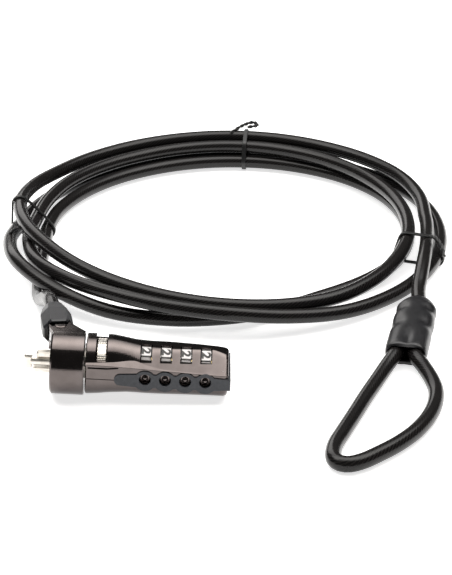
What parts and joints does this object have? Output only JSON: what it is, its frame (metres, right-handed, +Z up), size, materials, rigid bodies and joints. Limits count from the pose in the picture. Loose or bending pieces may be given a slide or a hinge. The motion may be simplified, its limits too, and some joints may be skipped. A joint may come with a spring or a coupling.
{
  "type": "laptop cable lock",
  "caption": "Combination lock head with a quarter-turn T-bar nose, on a swivel collar hinged to a coiled, tied steel cable that ends in a crimped eye.",
  "frame": {"origin": "on the table under the middle of the lock head, without the cable", "axes": "+Z up; the lock head lies along X with its T-bar nose at -X and its dials up, and the coiled cable lies behind it at +Y"},
  "size_m": [0.1543, 0.235, 0.0204],
  "materials": {
    "black_nickel": "polished black nickel plating",
    "bright_zinc": "bright nickel plating",
    "steel": "plain steel",
    "brass": "plain brass",
    "dial_white": "white with dark figures",
    "grip_rubber": "matt",
    "boot_plastic": "satin moulded",
    "cable_vinyl": "smoke vinyl over a steel strand",
    "tie_plastic": "black coated wire"
  },
  "bodies": {
    "cable": {"cable_eye": "steel", "cable_boot": "boot_plastic", "cable_lead": "cable_vinyl", "cable_coil": "cable_vinyl", "tie_left": "tie_plastic", "tie_back": "tie_plastic", "tie_right": "tie_plastic", "cable_tail": "cable_vinyl", "crimp_sleeve": "boot_plastic", "crimp_ferrule": "steel", "loop_eye": "cable_vinyl"},
    "collar": {"swivel_collar": "black_nickel", "hinge_pin": "black_nickel"},
    "case": {"upper_shell": "black_nickel", "lower_shell": "black_nickel", "rubber_grip": "grip_rubber", "nose_tube": "bright_zinc", "case_pins": "steel", "detent_spring": "steel"},
    "spindle": {"t_bar": "bright_zinc", "thumb_wheel": "bright_zinc", "spindle_clip": "steel"},
    "dial_1": {"dial_1": "dial_white", "clutch_sleeve_1": "brass"},
    "dial_2": {"dial_2": "dial_white", "clutch_sleeve_2": "brass"},
    "dial_3": {"dial_3": "dial_white", "clutch_sleeve_3": "brass"},
    "dial_4": {"dial_4": "dial_white", "clutch_sleeve_4": "brass"}
  },
  "joints": [
    {"name": "collar_hinge", "type": "hinge", "parent": "cable", "child": "collar", "pos_m": [-0.02042, 0.0029, 0.01672], "axis": [0.0577, 0, 0.9983], "range_deg": [-25, 20]},
    {"name": "collar_swivel", "type": "hinge", "parent": "collar", "child": "case", "pos_m": [-0.0175, -0.0023, 0.01004], "axis": [0.9983, 0, -0.0577], "continuous": true},
    {"name": "t_bar_turn", "type": "hinge", "parent": "case", "child": "spindle", "pos_m": [-0.0175, -0.0023, 0.01004], "axis": [0.9983, 0, -0.0577], "range_deg": [0, 90]},
    {"name": "dial_1_turn", "type": "hinge", "parent": "case", "child": "dial_1", "pos_m": [0.00586, -0.0023, 0.00869], "axis": [0.9983, 0, -0.0577], "continuous": true},
    {"name": "dial_2_turn", "type": "hinge", "parent": "case", "child": "dial_2", "pos_m": [0.0118, -0.0023, 0.00834], "axis": [0.9983, 0, -0.0577], "continuous": true},
    {"name": "dial_3_turn", "type": "hinge", "parent": "case", "child": "dial_3", "pos_m": [0.01774, -0.0023, 0.008], "axis": [0.9983, 0, -0.0577], "continuous": true},
    {"name": "dial_4_turn", "type": "hinge", "parent": "case", "child": "dial_4", "pos_m": [0.02368, -0.0023, 0.00766], "axis": [0.9983, 0, -0.0577], "continuous": true}
  ]
}
